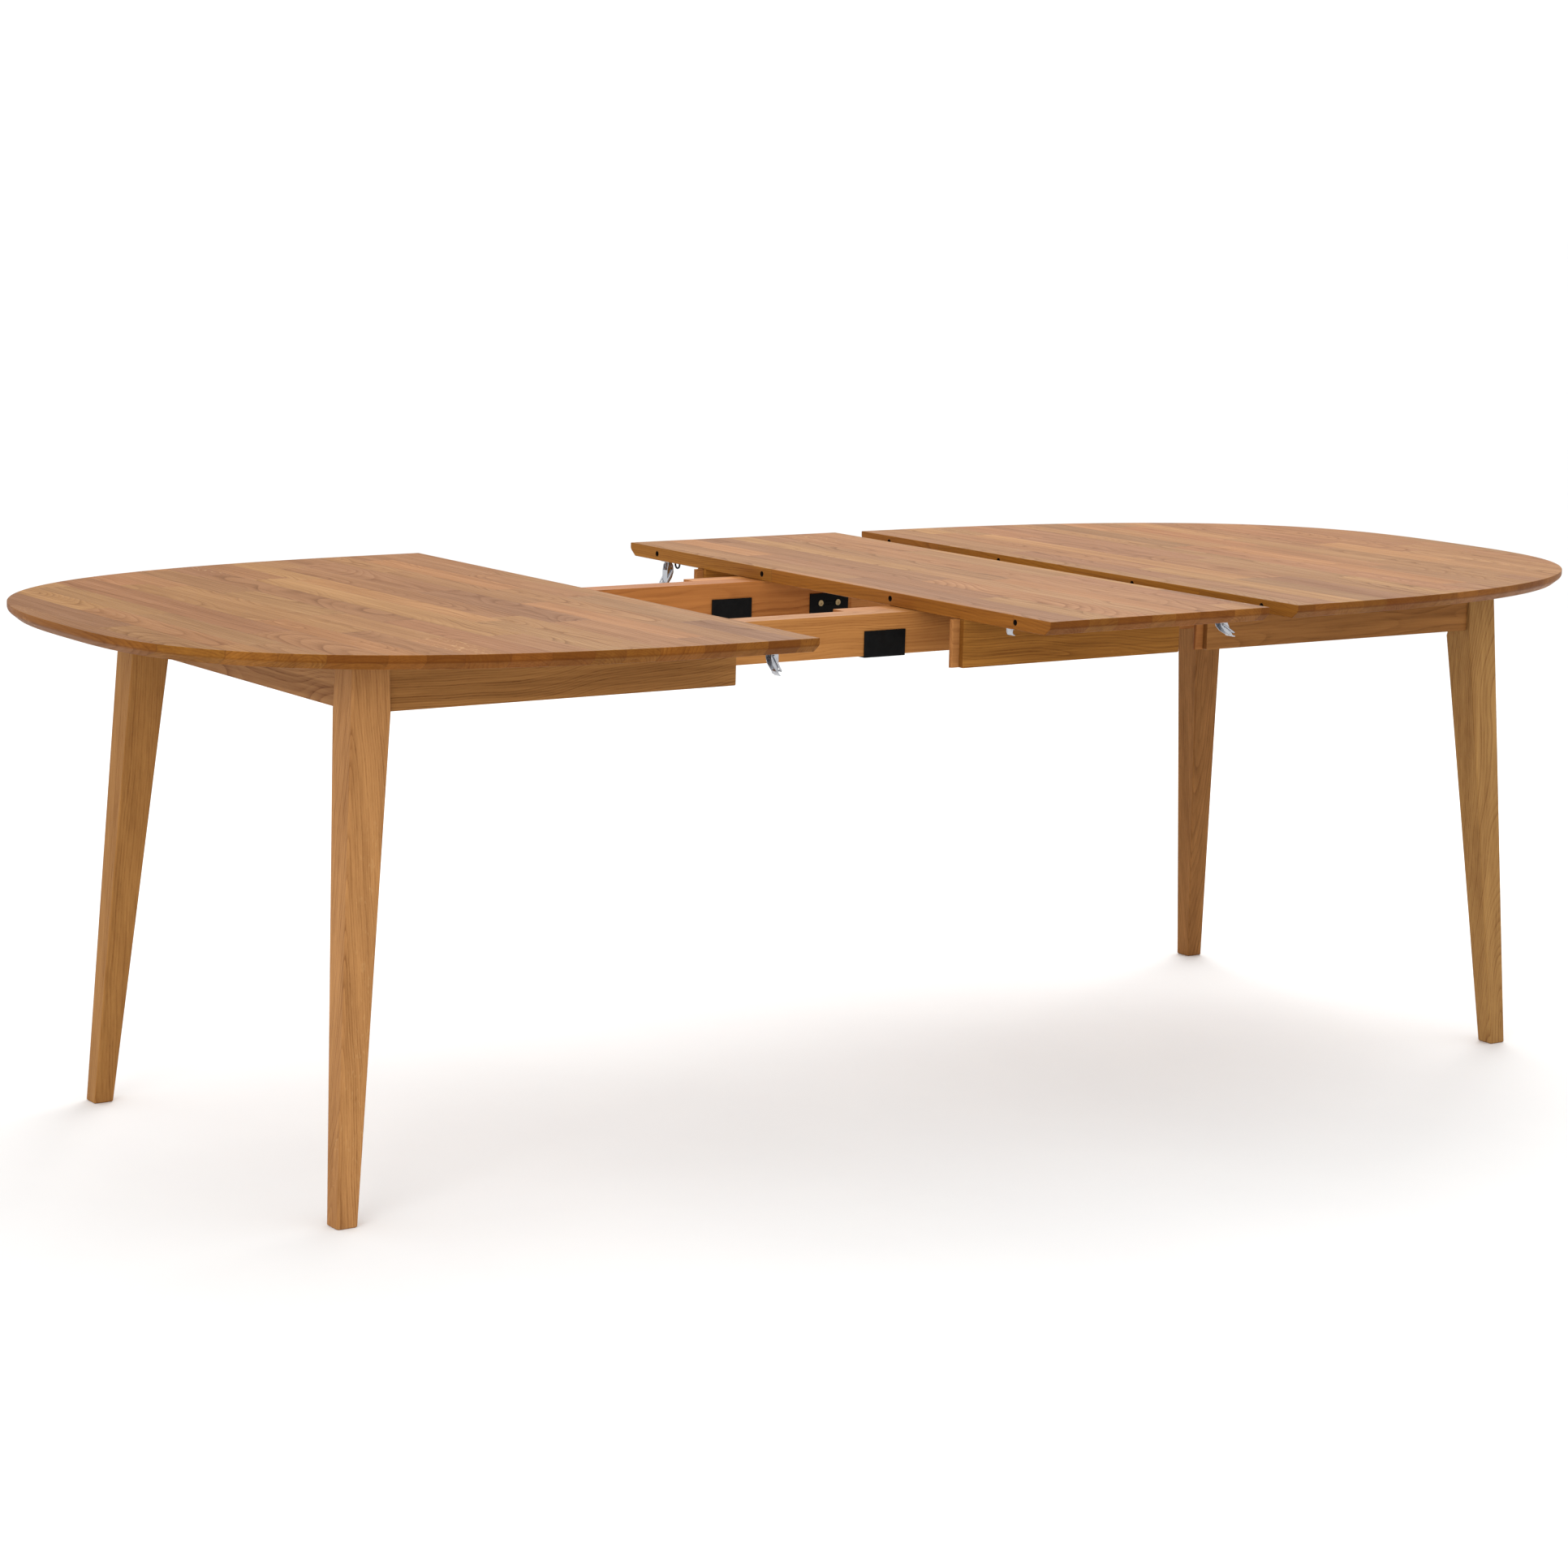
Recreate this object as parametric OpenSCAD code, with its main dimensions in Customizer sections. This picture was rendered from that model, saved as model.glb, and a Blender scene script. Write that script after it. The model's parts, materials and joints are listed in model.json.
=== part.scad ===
// Extendable dining table: two D-shaped halves on sliding rails, with a loose leaf between them.
// Origin: on the floor, under the middle of the opening. X along the table, Y to the back, Z up.

/* [Top] */
// Height of the top surface above the floor
table_h = 750; // [720:1:780]
// Thickness of the top boards
top_t = 20; // [18:1:24]
// Depth of the table from front to back, at the seams
top_w = 1068; // [1000:2:1100]
// Length of one half, from its seam to its rounded end
half_l = 836; // [800:1:860]
// Curvature exponent of the end, along the table
end_power_x = 2.5; // [2.2:0.05:3]
// Curvature exponent of the end, across the table
end_power_y = 2.9; // [2.3:0.05:3.2]
// Height of the upright band at the top of the edge
edge_band = 9.5; // [6:0.5:12]
// How far the bevel under the edge runs inwards
edge_bevel = 13; // [6:1:18]

/* [Opening] */
// Distance between the two halves' seams as drawn
opening = 840; // [820:1:860]
// Length of the loose leaf along the table
leaf_l = 400; // [380:1:420]
// Gap between the leaf and the right half as drawn
leaf_gap = 54; // [20:1:60]

/* [Aprons] */
// Distance from the centre line to the outer face of the long aprons
apron_y = 340; // [325:1:342]
// Thickness of the aprons
apron_t = 22; // [20:1:24]
// Height of the aprons
apron_h = 69; // [60:1:75]
// Distance from a half's seam to the outer face of its end apron
apron_end = 576; // [565:0.5:586]
// How far an alignment tongue stands out of its apron
tongue_out = 14; // [8:1:18]
// Thickness of an alignment tongue
tongue_t = 7; // [5:0.5:8]
// Distance from an apron's outer face to its tongue
tongue_setback = 9; // [7:0.5:9]

/* [Legs] */
// Side of the square foot
foot_side = 29.5; // [25:0.5:35]
// Distance from a half's seam to the outer face of the foot
foot_x = 627; // [610:1:640]
// Distance from the centre line to the outer face of the foot
foot_y = 382; // [370:1:390]
// Distance from a half's seam to the outer face of the leg's head
head_x = 587; // [586:1:592]
// Distance from the centre line to the outer face of the leg's head
head_y = 343; // [342:1:346]
// Thickness of the leg's head along the table
head_side_x = 53; // [50:1:56]
// Thickness of the leg's head across the table
head_side_y = 49; // [46:1:52]
// How much of each inner face the flat for the corner bolt takes away
head_flat = 8; // [6:0.5:12]

/* [Rails] */
// Thickness of the rails that belong to the left half
left_rail_t = 40; // [35:1:42]
// Thickness of the rails that belong to the right half
right_rail_t = 26.7; // [22:0.1:28]
// Height of the rails
rail_h = 60; // [50:1:62]
// Distance from the centre line to the middle of each pair of rails
rail_pair_y = 195; // [180:1:196]
// How far the ends of the rails overlap the middle of the opening
rail_past_middle = 133; // [100:1:133]
// Length of the steel slide brackets
bracket_l = 72; // [50:1:80]
// Height of the slide brackets' sides
bracket_h = 36; // [25:1:40]

/* [Seam hardware] */
// Distance from the centre line to the outer dowels
dowel_y_outer = 456; // [440:1:470]
// Distance from the centre line to the inner dowels
dowel_y_inner = 164; // [150:1:180]
// Radius of the dowels
dowel_r = 4; // [3:0.5:4]
// Distance from the centre line to the latches and keepers
latch_y = 440; // [420:1:450]
// Angle by which the leaf's right latch lever is open as drawn; the others hang at 90
tilted_lever_open = 118; // [90:1:120]

/* [Hidden] */

OAK = "burlywood";
OAK_PALE = "tan";
STEEL = "silver";
BLACK_STEEL = "dimgray";
BRASS = "goldenrod";

// Free space between pieces that slide past each other
clear = 0.3;
// Amount by which a cutting shape runs past the solid it cuts
over = 1;
half_w = top_w / 2;
under_z = table_h - top_t;
seam_x = opening / 2;
leaf_x1 = seam_x - leaf_gap;
leaf_x0 = leaf_x1 - leaf_l;
outline_steps = 96;

// Aprons
apron_z = under_z - apron_h;
tongue_in = 12;
tongue_y = apron_y - tongue_setback - tongue_t / 2;
groove_t = tongue_t + 2 * clear;

// Legs: inside the aprons the head's inner faces stand upright
head_inner_x = head_x - head_side_x;
head_inner_y = head_y - head_side_y;

// Corner joints: distances run from the leg's uncut inner corner along the diagonal
brace_near = -2;
brace_t = 18;
brace_half_l = 120;
brace_half_h = 27;
bolt_r = 4;
bolt_in_leg = 32;
bolt_past_brace = 14;
washer_r = 10;
washer_t = 2;
nut_r = 7.5;
nut_t = 6.5;

// Rails are planed down a little where the leaf and the other half pass over them
rail_top = under_z - 0.5;
rail_z = rail_top - rail_h;
pair_t = left_rail_t + clear + right_rail_t;
rail_root = apron_end - apron_t;
bracket_t = 2;
bracket_inset = 7;
bracket_screw_z = rail_z + 21;
rail_screw_xs = [70, 290, 500];
rail_screw_sunk = 35;
rail_screw_l = 40;

// Dowels
dowel_ys = [-dowel_y_outer, -dowel_y_inner, dowel_y_inner, dowel_y_outer];
dowel_z = table_h - top_t / 2;
dowel_out = 12;
dowel_in = 12;
// The leaf's own dowels are turned thinner than the left half's, and their holes are drilled wider
dowel_ease = 0.02;
// How much thicker than its free end a dowel's glued root is
root_swell = 0.2;
dowel_hole_r = dowel_r + 0.06;
dowel_hole_l = dowel_out + 1;

// Latch, drawn closed: the seam is at x = 0, its board is at x < 0, the board's underside at z = 0
lever_pivot = [-11, -8];
bail_pivot = [-17, -5.5];
bail_l = 24;
wire_r = 1.3;
plate_t = 1.5;
base_screw_xs = [-40, -24];
keeper_screw_x = -26;
ear_y = 4;
ear_t = 1.5;
flange_y = ear_y + ear_t + clear;
flange_t = 1.2;
lever_half_w = flange_y + flange_t;
bail_y = lever_half_w + clear + wire_r;
rivet_r = 1.5;
hanging = 90;
bail_open = 150;

// ---------- placing ----------

// Children are drawn for the right half, with x measured outwards from its seam
module half(side) {
    mirror([side < 0 ? 1 : 0, 0, 0])
        translate([seam_x, 0, 0])
            children();
}

// Children are drawn for a board whose seam is at x = 0 and which lies at x < 0
module seam(x, side) {
    translate([x, 0, under_z])
        rotate([0, 0, side > 0 ? 0 : 180])
            children();
}

// A box given by its low and high corners
module box(low, high) {
    translate(low)
        cube(high - low);
}

// A cylinder along +X
module rod_x(r, l) {
    rotate([0, 90, 0])
        cylinder(r = r, h = l, $fn = 32);
}

// ---------- tops ----------

// One point of the rounded end's outline, for an angle from 0 (front) to 180 (back)
function end_point(a, l, w) = [
    l * pow(max(sin(a), 0), 2 / end_power_x),
    -w * sign(cos(a)) * pow(abs(cos(a)), 2 / end_power_y)
];

// Rounded end, drawn in by inset on all sides but the seam
module end_outline(inset) {
    polygon([
        for (i = [0 : outline_steps])
            end_point(180 * i / outline_steps, half_l - inset, half_w - inset)
    ]);
}

module half_board() {
    skin = 0.01;
    translate([0, 0, table_h - edge_band])
        linear_extrude(edge_band)
            end_outline(0);
    hull() {
        translate([0, 0, table_h - edge_band])
            linear_extrude(skin)
                end_outline(0);
        translate([0, 0, under_z])
            linear_extrude(skin)
                end_outline(edge_bevel);
    }
}

// Blind holes for dowels, from the plane x = 0 towards -x
module dowel_holes(r, l) {
    for (y = dowel_ys)
        translate([-l, y, dowel_z])
            rod_x(r, l + over);
}

// Dowels that stand out of the plane x, with their glued roots
module dowels(x, r) {
    for (y = dowel_ys) {
        translate([x - dowel_in, y, dowel_z])
            rod_x(r + root_swell, dowel_in);
        translate([x, y, dowel_z])
            rod_x(r, dowel_out);
    }
}

module left_top() color(OAK)
    difference() {
        half(-1) half_board();
        translate([-seam_x, 0, 0])
            dowel_holes(dowel_r + root_swell, dowel_in + 0.5);
    }

module right_top() color(OAK)
    difference() {
        half(1) half_board();
        translate([seam_x, 0, 0])
            rotate([0, 0, 180])
                dowel_holes(dowel_hole_r + dowel_ease, dowel_hole_l);
    }

module leaf_top() color(OAK)
    difference() {
        translate([leaf_x0, 0, 0])
            rotate([90, 0, 90])
                linear_extrude(leaf_l)
                    polygon([
                        [-half_w, table_h], [-half_w, table_h - edge_band],
                        [-half_w + edge_bevel, under_z], [half_w - edge_bevel, under_z],
                        [half_w, table_h - edge_band], [half_w, table_h]
                    ]);
        translate([leaf_x1, 0, 0])
            dowel_holes(dowel_r - dowel_ease + root_swell, dowel_in + 0.5);
        translate([leaf_x0, 0, 0])
            rotate([0, 0, 180])
                dowel_holes(dowel_hole_r, dowel_hole_l);
    }

// ---------- aprons ----------

// A long apron from x0 to x1. Its low end can hold a glued tongue, its high end a sliding one
module long_apron(x0, x1, side_y, has_tongue, has_groove) {
    mirror([0, side_y < 0 ? 1 : 0, 0])
        difference() {
            box([x0, apron_y - apron_t, apron_z], [x1, apron_y, under_z]);
            if (has_tongue)
                box([x0 - over, tongue_y - tongue_t / 2, apron_z - over],
                    [x0 + tongue_in, tongue_y + tongue_t / 2, under_z + over]);
            if (has_groove)
                box([x1 - tongue_out - over, tongue_y - groove_t / 2, apron_z - over],
                    [x1 + over, tongue_y + groove_t / 2, under_z + over]);
        }
}

// Loose tongues glued into the left end of both aprons at x, with a rounded nose
module tongues(x) {
    nose = tongue_t / 2;
    for (side_y = [-1, 1])
        translate([x, side_y * tongue_y, apron_z + clear])
            linear_extrude(apron_h - 2 * clear) {
                translate([nose - tongue_out, -nose])
                    square([tongue_out - nose + tongue_in, tongue_t]);
                translate([nose - tongue_out, 0])
                    circle(r = nose, $fn = 32);
            }
}

module end_apron() {
    box([rail_root, -head_inner_y, apron_z], [apron_end, head_inner_y, under_z]);
}

module left_apron(side_y) color(OAK)
    long_apron(-seam_x - head_inner_x, -seam_x, side_y, false, true);

module right_apron(side_y) color(OAK)
    long_apron(seam_x, seam_x + head_inner_x, side_y, true, false);

module leaf_apron(side_y) color(OAK)
    long_apron(leaf_x0, leaf_x1, side_y, true, true);

// Triangular glue block in the corner between the top and an apron's inner face at y = 0
module glue_block() {
    side = 20;
    length = 50;
    translate([-length / 2, 0, under_z])
        rotate([90, 0, 90])
            linear_extrude(length)
                polygon([[0, 0], [-side, 0], [0, -side]]);
}

module long_glue_blocks(xs) {
    for (side_y = [-1, 1], x = xs)
        mirror([0, side_y < 0 ? 1 : 0, 0])
            translate([x, apron_y - apron_t, 0])
                glue_block();
}

module half_glue_blocks() color(OAK_PALE) {
    long_glue_blocks([90, 250, 410]);
    for (y = [-70, 70])
        translate([rail_root, y, 0])
            rotate([0, 0, -90])
                glue_block();
}

// ---------- legs ----------

// A thin horizontal slice of the leg at height z, between its inner and outer faces
module leg_slice(z, inner_x, inner_y, outer_x, outer_y) {
    skin = 0.01;
    translate([inner_x, inner_y, z])
        cube([outer_x - inner_x, outer_y - inner_y, skin]);
}

// Uncut leg: the outer faces lean from the head's top down to the foot
module leg_blank() {
    lean_x = foot_x + (head_x - foot_x) * apron_z / under_z;
    lean_y = foot_y + (head_y - foot_y) * apron_z / under_z;
    foot_chamfer = 1.5;
    hull() {
        leg_slice(under_z - 0.01, head_inner_x, head_inner_y, head_x, head_y);
        leg_slice(apron_z, head_inner_x, head_inner_y, lean_x, lean_y);
    }
    hull() {
        leg_slice(apron_z, head_inner_x, head_inner_y, lean_x, lean_y);
        leg_slice(foot_chamfer, foot_x - foot_side, foot_y - foot_side, foot_x, foot_y);
        leg_slice(0, foot_x - foot_side + foot_chamfer, foot_y - foot_side + foot_chamfer,
            foot_x - foot_chamfer, foot_y - foot_chamfer);
    }
}

// Splayed, tapered leg at the back of the right half, with a flat for the corner bolt.
// The flat runs out on the inner corner, a little below the aprons
module leg() {
    run_out = 13;
    difference() {
        leg_blank();
        translate([head_inner_x, head_inner_y, apron_z])
            rotate([0, 0, 45])
                rotate([90, 0, 0])
                    linear_extrude(2 * head_side_x, center = true)
                        polygon([
                            [-head_side_x, -run_out - over], [0, -run_out - over], [1.6, -run_out],
                            [head_flat / sqrt(2), 0], [head_flat / sqrt(2), apron_h + over],
                            [-head_side_x, apron_h + over]
                        ]);
    }
}

module placed_leg(side, side_y) color(OAK)
    half(side)
        mirror([0, side_y < 0 ? 1 : 0, 0])
            leg();

// ---------- corner joints ----------

// Along the diagonal at the back of the right half: x runs from the leg's inner corner inwards
module at_corner() {
    bolt_z = apron_z + apron_h / 2;
    for (side_y = [-1, 1])
        mirror([0, side_y < 0 ? 1 : 0, 0])
            translate([head_inner_x, head_inner_y, bolt_z])
                rotate([0, 0, 225])
                    children();
}

module corner_braces() color(OAK_PALE)
    difference() {
        intersection() {
            at_corner()
                box([brace_near, -brace_half_l, -brace_half_h],
                    [brace_near + brace_t, brace_half_l, brace_half_h]);
            box([0, apron_t - apron_y, apron_z], [rail_root, apron_y - apron_t, under_z]);
        }
        at_corner()
            translate([brace_near - over, 0, 0])
                rod_x(bolt_r + 0.5, brace_t + 2 * over);
    }

// Hanger bolts: the wood thread sits in the leg, the metric thread passes the brace
module leg_bolts() color(STEEL)
    at_corner()
        translate([-bolt_in_leg, 0, 0])
            rod_x(bolt_r, bolt_in_leg + brace_near + brace_t + bolt_past_brace);

module leg_nuts() color(STEEL)
    at_corner()
        translate([brace_near + brace_t, 0, 0])
            difference() {
                union() {
                    rod_x(washer_r, washer_t);
                    translate([washer_t, 0, 0])
                        rotate([0, 90, 0])
                            cylinder(r = nut_r, h = nut_t, $fn = 6);
                }
                translate([-over, 0, 0])
                    rod_x(bolt_r + 0.05, washer_t + nut_t + 2 * over);
            }

// ---------- rails ----------

// The low y of the rail that belongs to a side, in the pair around centre
function rail_low(side, centre) =
    side < 0 ? centre - pair_t / 2 : centre + pair_t / 2 - right_rail_t;
function rail_thick(side) = side < 0 ? left_rail_t : right_rail_t;
rail_centres = [-rail_pair_y, rail_pair_y];

module rail(side, centre) color(OAK_PALE) {
    y0 = rail_low(side, centre);
    y1 = y0 + rail_thick(side);
    half(side)
        difference() {
            union() {
                box([-seam_x - rail_past_middle, y0, rail_z], [rail_root, y1, rail_top]);
                box([over, y0, rail_z], [rail_root, y1, under_z]);
            }
            for (x = rail_screw_xs)
                translate([x, (y0 + y1) / 2, rail_z - over])
                    cylinder(r = 6, h = rail_screw_sunk + over, $fn = 32);
        }
}

// Long screws, sunk into the rails from below, that hold each rail to its top board
module rail_screws(side) color(STEEL)
    half(side)
        for (centre = rail_centres, x = rail_screw_xs)
            translate([x, rail_low(side, centre) + rail_thick(side) / 2,
                rail_z + rail_screw_sunk]) {
                translate([0, 0, -3])
                    cylinder(r = 5, h = 3, $fn = 32);
                cylinder(r = 2.4, h = rail_screw_l - 3, $fn = 24);
            }

// X of a bracket's low end: it sits just inside the free end of the rail that carries it
function bracket_x(side) =
    side < 0 ? rail_past_middle - bracket_inset - bracket_l : -rail_past_middle + bracket_inset;

// U-shaped brackets: one side is screwed to a rail, the other holds the sliding rail
module slide_brackets(side) color(BLACK_STEEL) {
    x0 = bracket_x(side);
    x1 = x0 + bracket_l;
    low_gap = side < 0 ? 0 : clear;
    high_gap = side < 0 ? clear : 0;
    for (centre = rail_centres) {
        y0 = centre - pair_t / 2 - low_gap;
        y1 = centre + pair_t / 2 + high_gap;
        difference() {
            box([x0, y0 - bracket_t, rail_z - clear - bracket_t],
                [x1, y1 + bracket_t, rail_z + bracket_h]);
            box([x0 - over, y0, rail_z - clear], [x1 + over, y1, rail_z + bracket_h + over]);
            for (x = bracket_screw_xs(side))
                translate([x, side < 0 ? y0 : y1, bracket_screw_z])
                    rotate([90, 0, 0])
                        cylinder(r = 2.5, h = 10, center = true, $fn = 32);
        }
    }
}

function bracket_screw_xs(side) = [bracket_x(side) + 20, bracket_x(side) + bracket_l - 20];

module bracket_screws(side) color(BRASS) {
    for (centre = rail_centres, x = bracket_screw_xs(side))
        translate([x, centre + side * pair_t / 2, bracket_screw_z])
            rotate([side < 0 ? 90 : -90, 0, 0]) {
                translate([0, 0, -16])
                    cylinder(r = 2.2, h = 16 + bracket_t, $fn = 24);
                translate([0, 0, bracket_t])
                    difference() {
                        cylinder(r = 4.6, h = 0.9, $fn = 32);
                        translate([0, 0, 0.3])
                            cylinder(r = 1.9, h = over, $fn = 32);
                    }
            }
}

// ---------- latches ----------

// Turns children about a point of the x-z plane, as a pin along y does
module turn(at, angle) {
    translate([at[0], 0, at[1]])
        rotate([0, angle, 0])
            translate([-at[0], 0, -at[1]])
                children();
}

// Extrudes an outline in the x-z plane to a width in y, centred on y
module slab(y, width) {
    translate([0, y + width / 2, 0])
        rotate([90, 0, 0])
            linear_extrude(width)
                children();
}

// Base plate with two ears and the rivets that the lever turns on
module latch_base() color(STEEL)
    translate([0, -latch_y, 0]) {
        difference() {
            box([-46, -11, -plate_t], [-5, 11, 0]);
            for (x = base_screw_xs)
                translate([x, 0, -over - plate_t])
                    cylinder(r = 2, h = 4, $fn = 32);
        }
        for (side_y = [-1, 1]) {
            slab(side_y * (ear_y + ear_t / 2), ear_t) {
                translate(lever_pivot)
                    circle(r = 3.6, $fn = 32);
                translate([lever_pivot[0] - 3.6, lever_pivot[1]])
                    square([7.2, -lever_pivot[1] - plate_t / 2]);
            }
            slab(side_y * (ear_y + lever_half_w) / 2, lever_half_w - ear_y)
                translate(lever_pivot)
                    circle(r = rivet_r, $fn = 32);
        }
    }

// Side view of the lever's flange, drawn closed
module flange_outline() {
    difference() {
        union() {
            translate(lever_pivot)
                circle(r = 5, $fn = 32);
            polygon([
                [-11, -3], [-20, -2.2], [-29, -5], [-37, -10.5], [-41, -13.5],
                [-36, -14], [-26, -14.2], [-17, -14], [-11, -13]
            ]);
        }
        translate(lever_pivot)
            circle(r = rivet_r + 0.1, $fn = 32);
        translate(bail_pivot)
            circle(r = wire_r + 0.1, $fn = 32);
    }
}

// Side view of the lever's web: a thin curved strip with a turned-out finger tip
module web_outline() {
    polygon([
        [-17, -14], [-26, -14.2], [-36, -14], [-41, -15], [-44.5, -18.5], [-45.5, -18],
        [-42.5, -13.4], [-38.5, -12], [-36, -12.8], [-26, -13], [-17, -12.8]
    ]);
}

module latch_lever(open) color(STEEL)
    translate([0, -latch_y, 0])
        turn(lever_pivot, -open) {
            for (side_y = [-1, 1])
                slab(side_y * (flange_y + flange_t / 2), flange_t)
                    flange_outline();
            slab(0, 2 * lever_half_w)
                web_outline();
        }

// Wire bail, lying against its lever: two legs outside it, and a bar that hooks behind the keeper
module latch_bail(open) color(STEEL)
    translate([0, -latch_y, 0])
        turn(lever_pivot, -open)
            turn(bail_pivot, bail_open)
                translate([bail_pivot[0], 0, bail_pivot[1]]) {
                    for (side_y = [-1, 1]) {
                        translate([0, side_y * bail_y, 0]) {
                            rod_x(wire_r, bail_l);
                            sphere(r = wire_r, $fn = 24);
                            translate([bail_l, 0, 0])
                                sphere(r = wire_r, $fn = 24);
                        }
                        translate([0, side_y * (bail_y + flange_y) / 2, 0])
                            rotate([90, 0, 0])
                                cylinder(r = wire_r, h = bail_y - flange_y, center = true, $fn = 32);
                    }
                    translate([bail_l, 0, 0])
                        rotate([90, 0, 0])
                            cylinder(r = wire_r, h = 2 * bail_y, center = true, $fn = 32);
                }

// Keeper: a screwed plate whose front end is folded down and back into a hook
module latch_keeper() color(STEEL)
    translate([0, latch_y, 0])
        difference() {
            slab(0, 12)
                polygon([
                    [-2, 0], [-34, 0], [-34, -plate_t], [-5, -plate_t], [-4.4, -5], [-5.4, -8],
                    [-8.2, -8.8], [-8.8, -10.2], [-4.2, -9.4], [-2.6, -5.4]
                ]);
            translate([keeper_screw_x, 0, -over - plate_t])
                cylinder(r = 2, h = 4, $fn = 32);
        }

module small_screw() {
    translate([0, 0, -plate_t - 1.6])
        cylinder(r = 3.2, h = 1.6, $fn = 32);
    translate([0, 0, -plate_t])
        cylinder(r = 1.6, h = 13, $fn = 24);
}

module latch_screws() color(BRASS) {
    for (x = base_screw_xs)
        translate([x, -latch_y, 0])
            small_screw();
    translate([keeper_screw_x, latch_y, 0])
        small_screw();
}

// Wire staple under the back left corner of the leaf
module leaf_staple() color(BLACK_STEEL) {
    ring_r = 6;
    staple_wire_r = 1.4;
    translate([leaf_x0 + 10, 412, under_z - 2.5])
        rotate([0, 0, 90])
            rotate([-90, 0, 0]) {
                rotate_extrude(angle = 180, $fn = 48)
                    translate([ring_r, 0])
                        circle(r = staple_wire_r, $fn = 24);
                for (x = [-ring_r, ring_r])
                    translate([x, 0, 0])
                        rotate([90, 0, 0])
                            cylinder(r = staple_wire_r, h = 12, $fn = 24);
            }
}

// ---------- left half ----------
left_top();
left_apron(-1);  // left_apron_front
left_apron(1);  // left_apron_back
color(OAK) half(-1) end_apron();  // left_apron_end
placed_leg(-1, -1);  // left_leg_front
placed_leg(-1, 1);  // left_leg_back
half(-1) corner_braces();  // left_corner_braces
half(-1) leg_bolts();  // left_leg_bolts
half(-1) leg_nuts();  // left_leg_nuts
half(-1) half_glue_blocks();  // left_glue_blocks
rail(-1, -rail_pair_y);  // left_rail_front
rail(-1, rail_pair_y);  // left_rail_back
rail_screws(-1);  // left_rail_screws
slide_brackets(-1);  // left_slide_brackets
bracket_screws(-1);  // left_bracket_screws
color(OAK_PALE) dowels(-seam_x, dowel_r);  // left_dowels
seam(-seam_x, 1) latch_base();  // left_latch_base
seam(-seam_x, 1) latch_lever(hanging);  // left_latch_lever
seam(-seam_x, 1) latch_bail(hanging);  // left_latch_bail
seam(-seam_x, 1) latch_keeper();  // left_keeper
seam(-seam_x, 1) latch_screws();  // left_latch_screws

// ---------- leaf ----------
leaf_top();
leaf_apron(-1);  // leaf_apron_front
leaf_apron(1);  // leaf_apron_back
color(OAK) tongues(leaf_x0);  // leaf_tongues
color(OAK_PALE)  // leaf_glue_blocks
    long_glue_blocks([leaf_x0 + 80, leaf_x0 + 320]);
color(OAK_PALE) dowels(leaf_x1, dowel_r - dowel_ease);  // leaf_dowels
seam(leaf_x0, -1) latch_base();  // leaf_latch_base_left
seam(leaf_x0, -1) latch_lever(hanging);  // leaf_latch_lever_left
seam(leaf_x0, -1) latch_bail(hanging);  // leaf_latch_bail_left
seam(leaf_x1, 1) latch_base();  // leaf_latch_base_right
seam(leaf_x1, 1) latch_lever(tilted_lever_open);  // leaf_latch_lever_right
seam(leaf_x1, 1) latch_bail(tilted_lever_open);  // leaf_latch_bail_right
union() {  // leaf_keepers
    seam(leaf_x0, -1) latch_keeper();
    seam(leaf_x1, 1) latch_keeper();
}
union() {  // leaf_latch_screws
    seam(leaf_x0, -1) latch_screws();
    seam(leaf_x1, 1) latch_screws();
}
leaf_staple();

// ---------- right half ----------
right_top();
right_apron(-1);  // right_apron_front
right_apron(1);  // right_apron_back
color(OAK) half(1) end_apron();  // right_apron_end
color(OAK) tongues(seam_x);  // right_tongues
placed_leg(1, -1);  // right_leg_front
placed_leg(1, 1);  // right_leg_back
half(1) corner_braces();  // right_corner_braces
half(1) leg_bolts();  // right_leg_bolts
half(1) leg_nuts();  // right_leg_nuts
half(1) half_glue_blocks();  // right_glue_blocks
rail(1, -rail_pair_y);  // right_rail_front
rail(1, rail_pair_y);  // right_rail_back
rail_screws(1);  // right_rail_screws
slide_brackets(1);  // right_slide_brackets
bracket_screws(1);  // right_bracket_screws
seam(seam_x, -1) latch_base();  // right_latch_base
seam(seam_x, -1) latch_lever(hanging);  // right_latch_lever
seam(seam_x, -1) latch_bail(hanging);  // right_latch_bail
seam(seam_x, -1) latch_keeper();  // right_keeper
seam(seam_x, -1) latch_screws();  // right_latch_screws
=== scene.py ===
"""Extendable oak dining table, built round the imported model. Metres, Z up, X along the table."""

import json
import math

import bmesh
import bpy
from mathutils import Matrix, Vector


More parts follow.
